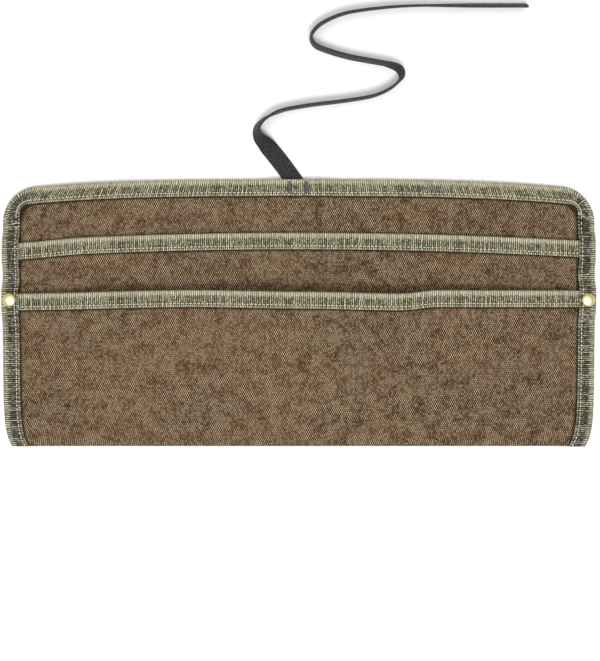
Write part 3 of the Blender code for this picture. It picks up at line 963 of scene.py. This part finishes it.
share = np.linspace(0, 1, STRAP_STEPS + 1)
between = (share[1:] + share[:-1]) / 2
course = np.radians(np.interp(between, *np.array(STRAP_HEADINGS).T))
step = STRAP_LENGTH / STRAP_STEPS
start = math.radians(STRAP_HEADINGS[0][1])
strap_x = STRAP_OFFSET + np.concatenate([[0], np.cumsum(step * np.cos(course))])
strap_y = TOP - STRAP_SEWN * math.sin(start) + np.concatenate([[0], np.cumsum(step * np.sin(course))])
heading = np.radians(np.interp(share, *np.array(STRAP_HEADINGS).T))[:, None]
twist = np.radians(np.interp(share, *np.array(STRAP_TWIST).T))[:, None]
reach = np.linspace(-1, 1, 13) * STRAP_WIDTH / 2
middle = STRAP_WIDTH / 2 * np.sin(twist) + STRAP_THICKNESS / 2 * np.cos(twist)
strap_points = np.stack([
    strap_x[:, None] + reach * np.cos(twist) * np.sin(heading),
    strap_y[:, None] - reach * np.cos(twist) * np.cos(heading),
    middle + reach * np.sin(twist),
], axis=2)

# Black polyester webbing, woven in a slanting rib: near black and low in gloss, its ribs a little paler.
# The picks are drawn 1.2 mm apart, coarser than real, so that they show.
WEBBING_BLACK = "#0d0c0d"
WEBBING_LIFT = "#4a4748"
PICK = 1.2 * MM

webbing, shader = new_material("black polyester webbing", 0.6)
shader.inputs["Specular IOR Level"].default_value = 0.25
laid = add_node(webbing, "ShaderNodeUVMap", uv_map="cloth")["UV"]
turns = add_node(
    webbing, "ShaderNodeVectorMath", {0: laid, "Scale": math.tau / PICK}, operation="SCALE"
)["Vector"]
axes = add_node(webbing, "ShaderNodeSeparateXYZ", {0: turns})
slant = add_node(webbing, "ShaderNodeMath", {0: axes["X"], 1: axes["Y"]}, operation="ADD")["Value"]
slant = add_node(webbing, "ShaderNodeMath", {0: slant}, operation="SINE")["Value"]
ends = add_node(webbing, "ShaderNodeMath", {0: axes["X"]}, operation="SINE")["Value"]
weave = add_node(webbing, "ShaderNodeMath", {0: slant, 1: ends}, operation="ADD")["Value"]
grit = add_node(webbing, "ShaderNodeTexNoise", {"Vector": laid, "Scale": 600, "Detail": 2})["Fac"]
relief = add_node(webbing, "ShaderNodeMath", {0: weave, 1: 0.25, 2: grit}, operation="MULTIPLY_ADD")["Value"]
lifted = add_node(
    webbing, "ShaderNodeMapRange", {"Value": relief, "From Min": 0.4, "From Max": 1.0}
)["Result"]
body = add_node(
    webbing,
    "ShaderNodeMix",
    {FACTOR: lifted, MIX_A: colour(WEBBING_BLACK), MIX_B: colour(WEBBING_LIFT)},
    data_type="RGBA",
)[MIXED]
raised = add_node(
    webbing, "ShaderNodeBump", {"Height": relief, "Strength": 0.6, "Distance": 0.3 * MM}
)["Normal"]
webbing.node_tree.links.new(body, shader.inputs["Base Color"])
webbing.node_tree.links.new(raised, shader.inputs["Normal"])
strap = make_cloth("tie_strap", strap_points, STRAP_THICKNESS, webbing, smooth_edges=0.4 * MM)
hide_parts("strap")
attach(strap, "root")

# Bar tacks
# Two short, dense rows of zigzag in dark thread hold the strap's end under the edge tape, one near each of
# the strap's edges. They show on the tape and on the strap's own underside.
TACK_LENGTH = 6.5 * MM
TACK_WIDTH = 2.2 * MM
TACK_PASSES = 15
TACK_PLACES = (-5.2 * MM, 4.4 * MM)

TACK_INSET = 1.4 * MM  # from the flap's edge to a tack's nearer end
UNDERSIDE = 0.1 * MM

# Bonded nylon thread: dark blue-grey, with a soft gloss.
TACK_BLUE = "#3c4350"

tack_thread, shader = new_material("bonded nylon thread", 0.45)
shader.inputs["Base Color"].default_value = colour(TACK_BLUE)
tack_middles = []
tack_directions = []
for tack_x in TACK_PLACES:
    column = tack_x / STRAIGHT_HALF
    tape_top = back_underside(np.array([[column]]), np.array([[5.0]]))[0, 0] + CANVAS + SPREAD + TAPE / 2
    flap_y = flap_outline(np.array([column]), 0)[1][0] - TACK_INSET
    for number in range(TACK_PASSES):
        y = flap_y - TACK_LENGTH * (number + 0.5) / TACK_PASSES
        slope = TACK_LENGTH / TACK_PASSES * (1 if number % 2 else -1)
        direction = np.array([TACK_WIDTH, slope, 0])
        direction /= np.linalg.norm(direction)
        for height in (tape_top, UNDERSIDE):
            tack_middles.append((tack_x, y, height))
            tack_directions.append(direction)
make_stitches(
    "bar_tacks", np.array(tack_middles), np.array(tack_directions), TACK_WIDTH, tack_thread
)

# Table and light
# A plain near-white table under soft studio light: one broad lamp overhead and a smaller one from the side
# of the fold, which lets the mouth of the pocket cast its shadow up the lining.
TABLE_SIZE = 6
TABLE_DROP = 0.2 * MM
TABLE_WHITE = "#fbfbfb"

bpy.ops.object.select_all(action="DESELECT")
bpy.ops.mesh.primitive_plane_add(size=TABLE_SIZE, location=(0, 0, -TABLE_DROP))
table = bpy.context.object
table.name = "table"
white, shader = new_material("plain white table", 0.9)
shader.inputs["Base Color"].default_value = colour(TABLE_WHITE)
table.data.materials.append(white)


def add_lamp(name, place, size, power):
    """A square area lamp that faces the roll."""
    lamp = bpy.data.lights.new(name, "AREA")
    lamp.size = size
    lamp.energy = power
    holder = bpy.data.objects.new(name, lamp)
    bpy.context.scene.collection.objects.link(holder)
    holder.location = place
    holder.rotation_euler = Vector(place).to_track_quat("Z", "Y").to_euler()


add_lamp("overhead", (-0.15, -0.1, 1.7), 1.8, 14)
add_lamp("key", (0.15, -0.6, 1.5), 0.4, 13)
world = bpy.data.worlds.new("studio")
bpy.context.scene.world = world
world.use_nodes = True
world.node_tree.nodes["Background"].inputs["Color"].default_value = (1, 1, 1, 1)
world.node_tree.nodes["Background"].inputs["Strength"].default_value = 0.5
bpy.context.scene.view_settings.view_transform = "Standard"
